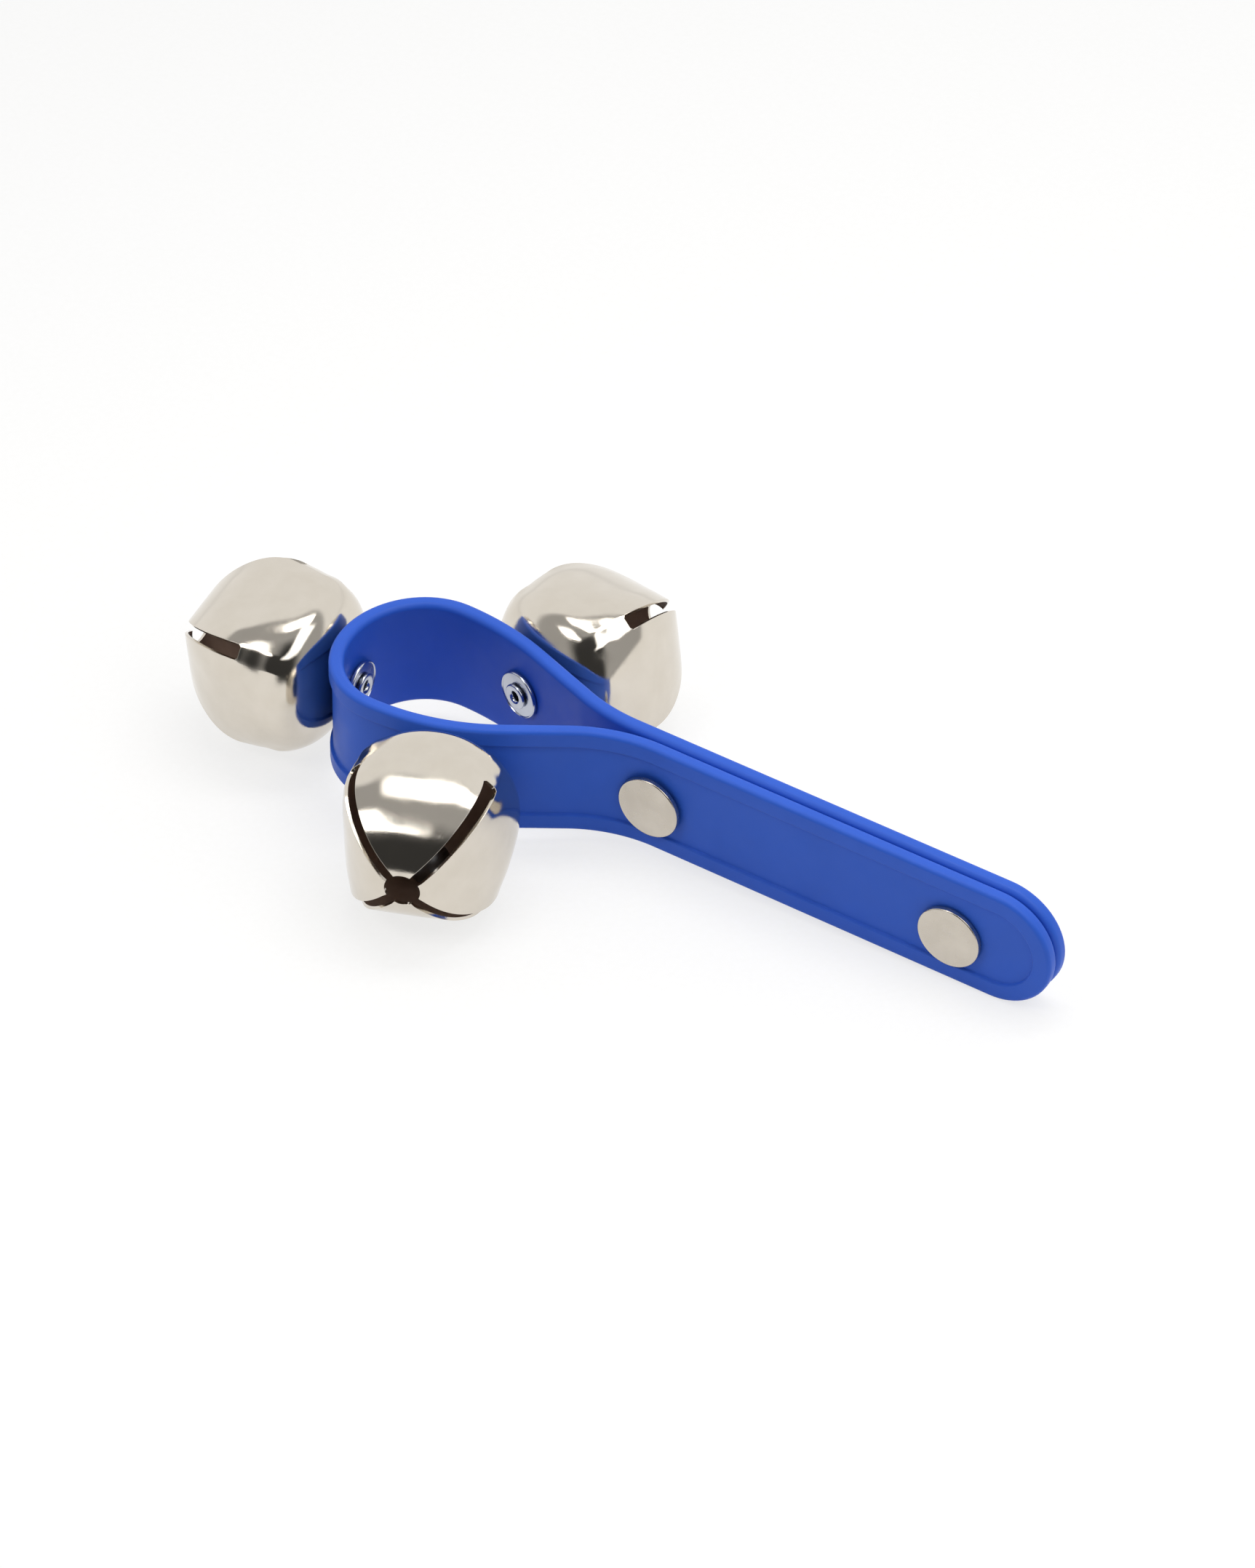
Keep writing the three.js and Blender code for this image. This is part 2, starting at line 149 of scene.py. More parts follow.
class RivetSizes(bpy.types.PropertyGroup):
    """Tubular rivets with heads or caps, and the washers under their curled ends."""

    handle_drop: length("Handle drop", 1.8, "How far the handle's rivets sit below the strap's middle")
    end_inset: length("End inset", 22.6, "From the end of the handle to its first rivet")
    clearance: length("Clearance", 0.3, "Gap between pieces that are riveted together")
    hole: length("Hole radius", 2.2, "Radius of the holes for the rivets")
    shank: length("Shank radius", 1.9, "Outer radius of a rivet's tube")
    bore: length("Bore radius", 1.1, "Inner radius of a rivet's tube")
    bore_depth: length("Bore depth", 4, "Depth of the tube's bore")
    bore_round: length("Bore rounding", 0.7, "Radius with which the bore opens out")
    curl: length("Curl", 0.9, "How far the curled lip stands out from the shank")
    curl_height: length("Curl height", 1.1, "Room for the curled lip above its washer")
    curl_press: length("Curl press", 0.55, "How much lower than that room the lip is pressed")
    curl_round: length("Curl rounding", 0.35, "Radius of the curled lip")
    curl_under: length("Curl underside", 0.12, "Radius with which the lip turns back to its washer")
    bell_head: length("Head radius", 4.5, "Radius of the heads inside the bells")
    bell_head_thickness: length("Head thickness", 1, "Thickness of the heads inside the bells")
    bell_head_round: length("Head rounding", 0.5, "Radius of the rims of those heads")
    cap: length("Cap radius", 7, "Radius of the caps on the handle")
    cap_thickness: length("Cap thickness", 1.15, "Thickness of the caps on the handle")
    cap_round: length("Cap rounding", 0.3, "Radius of the cap's rim")
    cap_crown: length("Cap crown", 0.08, "How far the cap's face falls off towards its rim")
    cap_mark: length("Cap mark", 1.7, "Radius of the shallow mark in the middle of a cap")
    cap_mark_depth: length("Cap mark depth", 0.05, "Depth of that mark")
    washer: length("Washer radius", 5.25, "Outer radius of the washers")
    washer_round: length("Washer rounding", 0.4, "Radius of the washer's rim")
    washer_crown: length("Washer crown", 0.25, "How far the washer's face falls off towards its rim")
    edge_break: length("Edge break", 0.1, "Radius of the small edges of rivets and washers")


class BellSizes(bpy.types.PropertyGroup):
    """A pressed cup whose front is cut into four petals that fold in round a mouth."""

    radius: length("Radius", 17.35, "Half of the bell's width")
    length: length("Length", 35.4, "From the bottom of the cup to the tips of the petals")
    wall: length("Wall", 0.7, "Thickness of the sheet")
    lip_round: length("Lip rounding", 0.33, "Radius of the sheet's cut edges")
    cup_depth: length("Cup depth", 8.5, "From the bottom of the cup to its widest place")
    cup_power: number("Cup power", 2.5, "Fullness of the cup's curve, 2 for an ellipse")
    petal_power: number("Petal power", 2.1, "Fullness of the petals' curve, 2 for an ellipse")
    corner_gain: number("Corner gain", 0.245, "How far the corners stand out where the bell is squarest")
    square_from: length("Square from", 26, "Station at which the bell is squarest")
    slot_width: length("Slot width", 2.5, "Width of the slots between petals, at the mouth")
    slot_end_width: length("Slot end width", 3.5, "Width of the slots at their closed ends")
    slot_start: length("Slot start", 15.5, "Station at which the slots begin")
    slot_round: length("Slot rounding", 0.7, "Corner radius of the slots' closed ends")
    mouth: length("Mouth radius", 3.7, "Radius of the hole that the petals close round")
    fold_width: length("Fold width", 3, "How far beside a slot the sheet is still buckled")
    knuckle: length("Knuckle height", 0.42, "How far the sheet buckles out behind a slot")
    knuckle_station: length("Knuckle station", 8.5, "Where it buckles out behind a slot")
    knuckle_length: length("Knuckle length", 2.2, "How soon that buckle fades along the bell")
    waist: length("Waist depth", 0.18, "How far the sheet is drawn in at a slot's closed end")
    waist_length: length("Waist length", 1.8, "How soon the waist fades along the bell")
    flat_edge: length("Flat edge", 3.6, "How far from a corner the petals run straight towards it")
    tip_turn: angle("Tip bell turn", -8, "How far the bell at the tip has swivelled")
    back_turn: angle("Back bell turn", -10, "How far the bell at the back has swivelled")
    front_turn: angle("Front bell turn", 2, "How far the bell at the front has swivelled")
    tip_seat: length("Tip bell seat", 1.28, "From the strap's middle to the bottom of the tip bell")
    back_seat: length("Back bell seat", 1.35, "From the strap's middle to the bottom of the back bell")
    front_seat: length("Front bell seat", 1.35, "From the strap's middle to the bottom of the front bell")
    pellet: length("Pellet radius", 4.5, "Radius of the loose pellet in each bell")


class Finishes(bpy.types.PropertyGroup):
    """Colours of the materials."""

    vinyl: colour("Vinyl", "#305FCD", "Blue of the moulded strap")
    vinyl_deep: colour("Deep vinyl", "#2A57BF", "Darker flow marks in the moulding")
    nickel: colour("Nickel", "#DCD5CA", "Bright nickel plating")
    nickel_dull: colour("Dull nickel", "#CFC7BA", "Nickel plating where it has dulled")
    cap: colour("Cap", "#D2CABE", "Satin nickel plating of the caps")
    cap_dull: colour("Dull cap", "#C0B8AB", "Satin nickel plating where it is handled")
    zinc: colour("Zinc", "#CBCED6", "Zinc plating")
    zinc_dull: colour("Dull zinc", "#B4B8C2", "Zinc plating where it has dulled")
    # The inside colours are painted shade: a darker brown standing in for the shade inside the closed bells, mixed
    # with stains at random.
    inside: colour("Inside", "#B89E8C", "Inside of the bells, which the plating hardly reaches")
    stained_inside_shade: colour("Dull inside", "#93796A", "Inside of the bells where it is stained")
    steel: colour("Steel", "#8F9195", "Bare steel")
    steel_dull: colour("Dull steel", "#6E6E6E", "Bare steel with a film of oil")
    floor: colour("Floor", "#F4F3F0", "Paper sweep under the object")


class StudioSettings(bpy.types.PropertyGroup):
    """Camera and light of a plain studio."""

    aim_along: length("Aim along", 49.49, "Where the camera looks, along the handle")
    aim_side: length("Aim aside", 2.57, "Where the camera looks, across the handle")
    distance: length("Distance", 1232.8, "From the camera to that place")
    turn: angle("Turn", 32.1, "Turn of the camera round the object")
    rise: angle("Rise", 40.94, "Height of the camera above the strap's plane")
    roll: angle("Roll", 1.29, "Roll of the camera")
    lamp_height: length("Lamp height", 500, "How high the softboxes hang over the table")
    focal: number("Focal length", 140.2, "Focal length in millimetres on a frame 36 mm high")


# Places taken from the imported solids

def mount(name):
    """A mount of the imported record."""
    return next(item for item in frame["record"]["mounts"] if item["name"] == name)


def axes(x, y, z, origin):
    """Matrix with these axes and this origin."""
    place = Matrix((x, y, z)).transposed().to_4x4()
    place.translation = origin
    return place


def lying(scene):
    """The strap's own axes: along the handle, to its back and up, from the loop's centre."""
    strap = scene.strap_sizes
    rivets = scene.rivet_sizes
    end_cap = Vector(mount("end_cap_face")["pos_m"])
    side = -Vector(mount("end_cap_face")["axis"]).normalized()
    along = end_cap - Vector(mount("loop_cap_face")["pos_m"])
    along = (along - along.project(side)).normalized()
    up = along.cross(side)
    panel_face = strap.thickness + strap.layer_gap / 2 - strap.panel_depth
    cap_face = panel_face + rivets.clearance + rivets.cap_thickness
    origin = (end_cap - along * (strap.handle_reach - rivets.end_inset)
              - side * (strap.handle_offset - cap_face) + up * rivets.handle_drop)
    return axes(along, side, up, origin)


def bell_place(scene, where):
    """A bell rivet's axes: X out of the strap, Z up, from the middle of the strap."""
    joint = next(item for item in frame["joints"] if item["name"] == f"{where}_bell_swivel")
    x = Vector(joint["axis"]).normalized()
    y = lying(scene).col[2].to_3d().cross(x).normalized()
    return axes(x, y, x.cross(y), Vector(joint["pos_m"]))


def handle_place(scene, where):
    """A handle rivet's axes: X out of the front, Z up, from between the two layers."""
    strap_axes = lying(scene)
    along, side, up = (strap_axes.col[i].to_3d() for i in range(3))
    cap = strap_axes.inverted() @ Vector(mount(f"{where}_cap_face")["pos_m"])
    cap.y = scene.strap_sizes.handle_offset
    return axes(-side, along, up, strap_axes @ cap)


def stations(node, place):
    """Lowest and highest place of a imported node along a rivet's axis."""
    to_axis = place.inverted()
    along = [(to_axis @ vertex.co).x for vertex in frame["nodes"][node].data.vertices]
    return min(along), max(along)


# Modelling steps that several pieces share

def rounded_outline(bm, corners, steps):
    """Flat outline from (x, y, rounding) corners, left as bare edges."""
    verts = [bm.verts.new((x, y, 0)) for x, y, _ in corners]
    bm.faces.new(verts)
    for vert, (_, _, rounding) in zip(verts, corners):
        if rounding:
            bmesh.ops.bevel(bm, geom=[vert], offset=rounding, offset_type="OFFSET", segments=steps,
                            profile=0.5, affect="VERTICES", material=-1)
    bmesh.ops.delete(bm, geom=bm.faces[:], context="FACES_ONLY")


def cut_long_edges(bm, longest):
    """Divides each edge of an outline into pieces no longer than this."""
    for edge in bm.edges[:]:
        cuts = math.ceil(edge.calc_length() / longest) - 1
        if cuts > 0:
            bmesh.ops.subdivide_edges(bm, edges=[edge], cuts=cuts)


def drop_axis_edges(bm):
    """Removes the edges of an outline that lie on its axis, the line y = 0."""
    on_axis = [e for e in bm.edges if all(abs(v.co.y) < WELD for v in e.verts)]
    bmesh.ops.delete(bm, geom=on_axis, context="EDGES")


def revolve(bm, corners, steps, rounding_steps=4, longest=1.2 * MM):
    """Full turn of an outline of (station, radius, rounding) corners about X."""
    rounded_outline(bm, corners, rounding_steps)
    cut_long_edges(bm, longest)
    drop_axis_edges(bm)
    bmesh.ops.spin(bm, geom=bm.verts[:] + bm.edges[:], cent=(0, 0, 0), axis=(1, 0, 0),
                   angle=FULL_TURN, steps=steps, use_merge=True)
    bmesh.ops.remove_doubles(bm, verts=bm.verts[:], dist=WELD)
    bmesh.ops.recalc_face_normals(bm, faces=bm.faces[:])


def add_piece(name, bm, material, crease=40):
    """Turns a finished bmesh into a smooth object, with edges sharper than the crease kept."""
    mesh = bpy.data.meshes.new(name)
    bm.to_mesh(mesh)
    bm.free()
    mesh.shade_smooth()
    mesh.set_sharp_from_angle(angle=math.radians(crease))
    mesh.materials.append(material)
    piece = bpy.data.objects.new(name, mesh)
    bpy.context.scene.collection.objects.link(piece)
    return piece


def stand_for(piece, node, body):
    """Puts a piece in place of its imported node, on the body that carries it."""
    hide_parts(node)
    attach(piece, body)


# Strap

class Route:
    """Middle of the strap in plan, measured along it from the front end of the handle."""

    def __init__(self, points):
        self.points = points
        self.marks = [0.0]
        for here, there in zip(points, points[1:]):
            self.marks.append(self.marks[-1] + (there - here).length)
        self.length = self.marks[-1]

    def tangent(self, index):
        """Direction along the strap at one of its points."""
        before = self.points[max(index - 1, 0)]
        after = self.points[min(index + 1, len(self.points) - 1)]
        return (after - before).normalized()

    def at(self, distance):
        """Point and outward direction at a distance along the strap."""
        index = min(max(bisect.bisect(self.marks, distance), 1), len(self.marks) - 1)
        low, high = self.marks[index - 1], self.marks[index]
        share = (distance - low) / (high - low)
        point = self.points[index - 1].lerp(self.points[index], share)
        tangent = self.tangent(index - 1).lerp(self.tangent(index), share).normalized()
        return point, Vector((-tangent.y, tangent.x))


def straight(start, end, step):
    """Points from one place towards another, without the last."""
    start, end = Vector(start), Vector(end)
    count = math.ceil((end - start).length / step)
    return [start.lerp(end, i / count) for i in range(count)]


def arc(centre, radii, start, end, step):
    """Points round an elliptical arc, without the last."""
    count = math.ceil(abs(end - start) * max(radii) / step)
    turns = [start + (end - start) * i / count for i in range(count)]
    return [Vector((centre[0] + radii[0] * math.cos(t), centre[1] + radii[1] * math.sin(t)))
            for t in turns]


def flank(strap, side, slope, side_radius, reverse_radius, step):
    """One side of the teardrop, from the end of the handle to the loop's widest place."""
    layer = side * strap.handle_offset + (strap.thickness + strap.layer_gap) / 2
    rise = 1 - math.cos(slope)
    high = Vector((side_radius * math.sin(slope), strap.side_reach - side_radius * rise))
    low_y = layer + reverse_radius * rise
    low = Vector((high.x + (high.y - low_y) / math.tan(slope), low_y))
    reverse_x = low.x + reverse_radius * math.sin(slope)
    points = straight((strap.handle_reach, layer), (reverse_x, layer), step)
    points += arc((reverse_x, layer + reverse_radius), (reverse_radius, reverse_radius),
                  -QUARTER_TURN, -QUARTER_TURN - slope, step)
    points += straight(low, high, step)
    points += arc((0, strap.side_reach - side_radius), (side_radius, side_radius),
                  QUARTER_TURN - slope, QUARTER_TURN, step)
    return [Vector((point.x, side * point.y)) for point in points]


def strap_route(strap, step=0.3 * MM):
    """The whole strap in plan: front layer, loop and back layer."""
    front = flank(strap, -1, strap.front_angle, strap.front_side, strap.front_reverse, step)
    back = flank(strap, 1, strap.back_angle, strap.back_side, strap.back_reverse, step)
    tip = arc((0, 0), (strap.tip_reach, strap.side_reach), 3 * QUARTER_TURN, QUARTER_TURN, step)
    widest = [Vector((0, strap.side_reach))]
    return Route(front + tip + widest + back[::-1])


def strap_outline(strap):
    """Half of the strap's section as (outward, height, rounding) corners, from its middle up."""
    face = strap.thickness / 2
    panel = face - strap.panel_depth
    top = strap.width / 2
    inner = top - strap.border
    return [
        (-face, 0, 0),
        (-face, top, strap.inner_round),
        (face, top, strap.edge_round),
        (face, inner + strap.panel_draft / 2, strap.step_round),
        (panel, inner - strap.panel_draft / 2, strap.step_foot),
        (panel, 0, 0),
    ]


def flat_strap(bm, strap, half_length, ring_step=1.2 * MM, row_step=1.5 * MM, end_steps=36):
    """The strap before it is folded: X along, Y outward, Z up, with two round ends."""
    rounded_outline(bm, strap_outline(strap), steps=6)
    cut_long_edges(bm, row_step)
    drop_axis_edges(bm)
    end_centre = half_length - strap.width / 2
    stand = Matrix(((0, 0, 1, end_centre), (1, 0, 0, 0), (0, 1, 0, 0), (0, 0, 0, 1)))
    bmesh.ops.transform(bm, matrix=stand, verts=bm.verts[:])
    bmesh.ops.spin(bm, geom=bm.verts[:] + bm.edges[:], cent=(end_centre, 0, 0), axis=(0, 1, 0),
                   angle=HALF_TURN, steps=end_steps)
    bmesh.ops.remove_doubles(bm, verts=bm.verts[:], dist=WELD)
    ring = [edge for edge in bm.edges if edge.is_boundary]
    count = math.ceil(end_centre / ring_step)
    for _ in range(count):
        made = bmesh.ops.extrude_edge_only(bm, edges=ring)["geom"]
        moved = {item for item in made if isinstance(item, bmesh.types.BMVert)}
        bmesh.ops.translate(bm, vec=(-end_centre / count, 0, 0), verts=list(moved))
        ring = [item for item in made
                if isinstance(item, bmesh.types.BMEdge) and moved.issuperset(item.verts)]
    bmesh.ops.mirror(bm, geom=bm.verts[:] + bm.edges[:] + bm.faces[:], matrix=Matrix.Identity(4),
                     merge_dist=WELD, axis="X")
    bmesh.ops.remove_doubles(bm, verts=bm.verts[:], dist=WELD)


def fold(bm, route, place):
    """Bends the flat strap round its route."""
    for vert in bm.verts:
        along, outward, height = vert.co
        point, normal = route.at(along + route.length / 2)
        spot = point + normal * outward
        vert.co = place @ Vector((spot.x, spot.y, height))
    bmesh.ops.recalc_face_normals(bm, faces=bm.faces[:])


def drill(piece, places, radius, reach, sides=48):
    """Cuts a round hole through a piece at each rivet."""
    bm = bmesh.new()
    along_rivet = Matrix.Rotation(QUARTER_TURN, 4, "Y")
    for place in places:
        bmesh.ops.create_cone(bm, cap_ends=True, segments=sides, radius1=radius, radius2=radius,
                              depth=reach, matrix=place @ along_rivet)
    cutter = add_piece("rivet_holes", bm, piece.data.materials[0])
    cut = piece.modifiers.new("Rivet holes", "BOOLEAN")
    cut.operation = "DIFFERENCE"
    cut.solver = "EXACT"
    cut.object = cutter
    result = piece.evaluated_get(bpy.context.evaluated_depsgraph_get())
    drilled = bpy.data.meshes.new_from_object(result)
    piece.modifiers.clear()
    piece.data = drilled
    bpy.data.objects.remove(cutter)


class JINGLE_OT_strap(bpy.types.Operator):
    """Model the folded strap with its raised border"""

    bl_idname = "jingle.strap"
    bl_label = "Strap"

    def execute(self, context):
        scene = context.scene
        strap = scene.strap_sizes
        route = strap_route(strap)
        bm = bmesh.new()
        flat_strap(bm, strap, route.length / 2)
        fold(bm, route, lying(scene))
        piece = add_piece("moulded_strap", bm, soft_vinyl(scene.finishes))
        places = [bell_place(scene, where) for where in BELLS]
        places += [handle_place(scene, where) for where in HANDLE_RIVETS]
        both_layers = 4 * strap.thickness
        drill(piece, places, scene.rivet_sizes.hole, both_layers)
        weighted = piece.modifiers.new("Flat faces stay flat", "WEIGHTED_NORMAL")
        weighted.keep_sharp = True
        stand_for(piece, "strap", STRAP_BODY)
        return {"FINISHED"}


# Bells

# Columns of the spun blank that are cut out for a slot, on each side of its middle.
SLOT_COLUMNS = 3
# Width of the first column beside a slot, narrow so that the lip's rounding stays even.
LIP_STRIP = 0.45 * MM
# Near the mouth, half a slot takes up no more than this share of the bell's radius.
SLOT_LIMIT = 0.5
# There, a petal's straight edge takes up no more than this share of the bell's half width.
FLAT_LIMIT = 0.6
# Edges that turn by more than this are cut edges of the sheet, and are rounded in a few steps.
CUT_EDGE = math.radians(60)
LIP_STEPS = 4


def half_width(bell, station):
    """Half of the bell's width across its flats, at a station along its axis."""
    cup = station < bell.cup_depth
    power = bell.cup_power if cup else bell.petal_power
    share = 1 - station / bell.cup_depth
    if not cup:
        share = (station - bell.cup_depth) / (bell.length - bell.cup_depth)
    return bell.radius * (1 - min(1, share) ** power) ** (1 / power)


def section_power(bell, station):
    """The round cup grows corners towards the mouth, where the petals lie almost flat across."""
    ramp = math.sin(QUARTER_TURN * min(1, station / bell.square_from)) ** 2
    # A superellipse of power p reaches 2 ** (1 / 2 - 1 / p) times its half width at the corners.
    return 1 / (0.5 - math.log2(1 + bell.corner_gain * ramp))


def smooth_radius(bell, station, turn):
    """Distance of the bell's outer face from its axis, before the sheet buckles."""
    power = section_power(bell, station)
    width = half_width(bell, station)

    def rounded(aside):
        return width / (math.cos(aside) ** power + math.sin(aside) ** power) ** (1 / power)

    broken = min(SLOT_LIMIT, slot_half_width(bell, station) / (width * (1 + bell.corner_gain)))
    aside = EIGHTH_TURN - max(broken, abs(from_corner(turn)))
    edge = EIGHTH_TURN - min(FLAT_LIMIT, bell.flat_edge / width)
    if aside <= edge:
        return rounded(aside)
    slope = math.atan(math.tan(edge) ** (power - 1))
    flat = rounded(edge) * math.cos(edge - slope) / math.cos(aside - slope)
    ramp = (station - bell.knuckle_station) / (bell.slot_start - bell.knuckle_station)
    share = min(1, max(0, ramp)) ** 2
    return rounded(aside) + (flat - rounded(aside)) * share


def bell_radius(bell, station, turn):
    """Distance of the bell's outer face from its axis, with the buckles along its corners."""
    radius = smooth_radius(bell, station, turn)
    beside = radius * max(0, abs(from_corner(turn)) - slot_half_angle(bell, station))
    return radius + buckle(bell, station) * max(0, 1 - beside / bell.fold_width) ** 2


def buckle(bell, station):
    """How far the sheet stands out along a corner: a knuckle, then a waist at the slot's end."""
    def wave(height, centre, reach):
        return height * math.exp(-((station - centre) / reach) ** 2)

    return (wave(bell.knuckle, bell.knuckle_station, bell.knuckle_length)
            - wave(bell.waist, bell.slot_start, bell.waist_length))


def from_corner(turn):
    """Angle from the nearest corner of the bell, where a slot runs."""
    return turn % QUARTER_TURN - EIGHTH_TURN


def slot_half_width(bell, station):
    """Half of a slot's width, which narrows from its closed end to the mouth."""
    share = (station - bell.slot_start) / (bell.length - bell.slot_start)
    width = bell.slot_end_width + (bell.slot_width - bell.slot_end_width) * max(0, share)
    return width / 2


def slot_half_angle(bell, station, first_guess=math.radians(9), rounds=6):
    """Half of the angle that a slot takes up at a station, closed in on in a few rounds."""
    station = max(station, bell.slot_start)
    half = slot_half_width(bell, station)
    across = first_guess
    for _ in range(rounds):
        share = half / smooth_radius(bell, station, EIGHTH_TURN + across)
        across = math.asin(min(SLOT_LIMIT, share))
    return across


def bell_stations(bell, hole, cup_rows=24, side_rows=16, petal_rows=46):
    """Stations along the bell from its rivet hole to its mouth, with one where the slots begin."""
    def cup(turn):
        return bell.cup_depth * (1 - math.cos(turn) ** (2 / bell.cup_power))

    petal_length = bell.length - bell.cup_depth

    def petal(turn):
        return bell.cup_depth + petal_length * math.sin(turn) ** (2 / bell.petal_power)

    hole_turn = math.asin((hole / bell.radius) ** (bell.cup_power / 2))
    slot_share = (bell.slot_start - bell.cup_depth) / petal_length
    slot_turn = math.asin(slot_share ** (bell.petal_power / 2))
    mouth_turn = math.acos((bell.mouth / bell.radius) ** (bell.petal_power / 2))
    rows = [cup(hole_turn + (QUARTER_TURN - hole_turn) * i / cup_rows) for i in range(cup_rows)]
    rows += [petal(slot_turn * i / side_rows) for i in range(side_rows)]
    rows += [petal(slot_turn + (mouth_turn - slot_turn) * i / petal_rows)
             for i in range(petal_rows + 1)]
    return rows


def bell_shell(bm, bell, hole, columns=192):
    """Outer face of a bell along X: a spun cup and petals, cut by four slots and squared."""
    rows = bell_stations(bell, hole)
    verts = [bm.verts.new((station, half_width(bell, station), 0)) for station in rows]
    for here, there in zip(verts, verts[1:]):
        bm.edges.new((here, there))
    bmesh.ops.spin(bm, geom=bm.verts[:] + bm.edges[:], cent=(0, 0, 0), axis=(1, 0, 0),
                   angle=FULL_TURN, steps=columns, use_merge=True)
    bmesh.ops.remove_doubles(bm, verts=bm.verts[:], dist=WELD)
    slot_edge = FULL_TURN * SLOT_COLUMNS / columns

    def in_slot(face):
        centre = face.calc_center_median()
        turn = math.atan2(centre.z, centre.y)
        return centre.x > bell.slot_start and abs(from_corner(turn)) < slot_edge

    bmesh.ops.delete(bm, geom=[face for face in bm.faces if in_slot(face)], context="FACES")
    for vert in bm.verts:
        vert.co = press(bell, vert.co, slot_edge)
    bmesh.ops.recalc_face_normals(bm, faces=bm.faces[:])


def press(bell, spot, slot_edge):
    """Moves a point of the spun blank to its place on the pressed bell."""
    station = spot.x
    turn = math.atan2(spot.z, spot.y)
    corner = from_corner(turn)
    edge = slot_half_angle(bell, station)
    lip = LIP_STRIP / max(bell.mouth, half_width(bell, station))
    size = abs(corner)
    columns = SLOT_COLUMNS * (size - slot_edge) / slot_edge
    last = SLOT_COLUMNS * (EIGHTH_TURN - slot_edge) / slot_edge
    spread = (EIGHTH_TURN - edge - lip) * max(0, columns - 1) / (last - 1)
    eased = edge + lip * min(1, columns) + spread
    if size <= slot_edge:
        eased = size * edge / slot_edge
    turn += math.copysign(eased, corner) - corner
    radius = bell_radius(bell, station, turn)
    if abs(station - bell.slot_start) < WELD and size <= slot_edge + WELD:
        across = radius * math.sin(eased)
        overlap = max(0, across - bell.slot_end_width / 2 + bell.slot_round) / bell.slot_round
        station += bell.slot_round * (1 - math.sqrt(max(0, 1 - overlap ** 2)))
        radius = bell_radius(bell, station, turn)
    if math.hypot(spot.y, spot.z) < bell.mouth + WELD and station > bell.cup_depth:
        radius = bell.mouth
    return Vector((station, radius * math.cos(turn), radius * math.sin(turn)))


class JINGLE_OT_bells(bpy.types.Operator):
    """Model the pressed bells with their folded petals"""

    bl_idname = "jingle.bells"
    bl_label = "Bells"

    def execute(self, context):
        scene = context.scene
        bell = scene.bell_sizes
        nickel = bright_nickel(scene.finishes)
        # The inner face of each bell gets a darker brown of painted shade, for the shade inside the closed bell.
        inside = painted_shade_inside(scene.finishes)
        for where in BELLS:
            turn = getattr(bell, f"{where}_turn")
            seat = getattr(bell, f"{where}_seat")
            place = bell_place(scene, where)
            swivelled = place @ Matrix.Translation((seat, 0, 0)) @ Matrix.Rotation(turn, 4, "X")
            bm = bmesh.new()
            bell_shell(bm, bell, scene.rivet_sizes.hole)
            bmesh.ops.transform(bm, matrix=swivelled, verts=bm.verts[:])
            piece = add_piece(f"{where}_bell_shell", bm, nickel, crease=180)
            piece.data.materials.append(inside)
            sheet = piece.modifiers.new("Sheet", "SOLIDIFY")
            sheet.thickness = bell.wall
            sheet.offset = -1
            sheet.use_even_offset = True
            sheet.material_offset = 1
            lips = piece.modifiers.new("Cut edges", "BEVEL")
            lips.width = bell.lip_round
            lips.segments = LIP_STEPS
            lips.limit_method = "ANGLE"
            lips.angle_limit = CUT_EDGE
            lips.harden_normals = True
            stand_for(piece, f"bell_{where}", f"{where}_bell")
        return {"FINISHED"}


class JINGLE_OT_pellets(bpy.types.Operator):
    """Model the loose pellets inside the bells"""

    bl_idname = "jingle.pellets"
    bl_label = "Pellets"

    def execute(self, context):
        scene = context.scene
        steel = bare_steel(scene.finishes)
        for where in BELLS:
            low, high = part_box(f"pellet_{where}")
            bm = bmesh.new()
            bmesh.ops.create_icosphere(bm, subdivisions=4, radius=scene.bell_sizes.pellet)
            bmesh.ops.translate(bm, vec=(low + high) / 2, verts=bm.verts[:])
            piece = add_piece(f"{where}_rattle_pellet", bm, steel)
            stand_for(piece, f"pellet_{where}", f"{where}_pellet")
        return {"FINISHED"}


# Rivets and washers

def rivet_outline(rivets, low, high, head, head_thickness, head_round):
    """Tubular rivet along X: a bore and curled lip at the low end and a head at the high end."""
    lip = rivets.shank + rivets.curl
    seat = low + rivets.curl_height
    top = low + rivets.curl_press
    return [
        (low + rivets.bore_depth, 0, 0),
        (low + rivets.bore_depth, rivets.bore, 0),
        (top, rivets.bore, rivets.bore_round),
        (top, lip, rivets.curl_round),
        (seat, lip, rivets.curl_under),
        (seat, rivets.shank, 0),
        (high - head_thickness, rivets.shank, 0),
        (high - head_thickness, head, rivets.edge_break),
        (high, head, head_round),
        (high, 0, 0),
    ]


def crown(bm, station, radius, fall):
    """Lets the round face at a station fall off towards its rim."""
    for vert in bm.verts:
        if abs(vert.co.x - station) < WELD:
            share = math.hypot(vert.co.y, vert.co.z) / radius
            vert.co.x -= fall * share ** 2


def sink(bm, station, radius, depth):
    """Presses a shallow round mark into the middle of the face at a station."""
    for vert in bm.verts:
        if abs(vert.co.x - station) < depth and math.hypot(vert.co.y, vert.co.z) < radius:
            vert.co.x -= depth


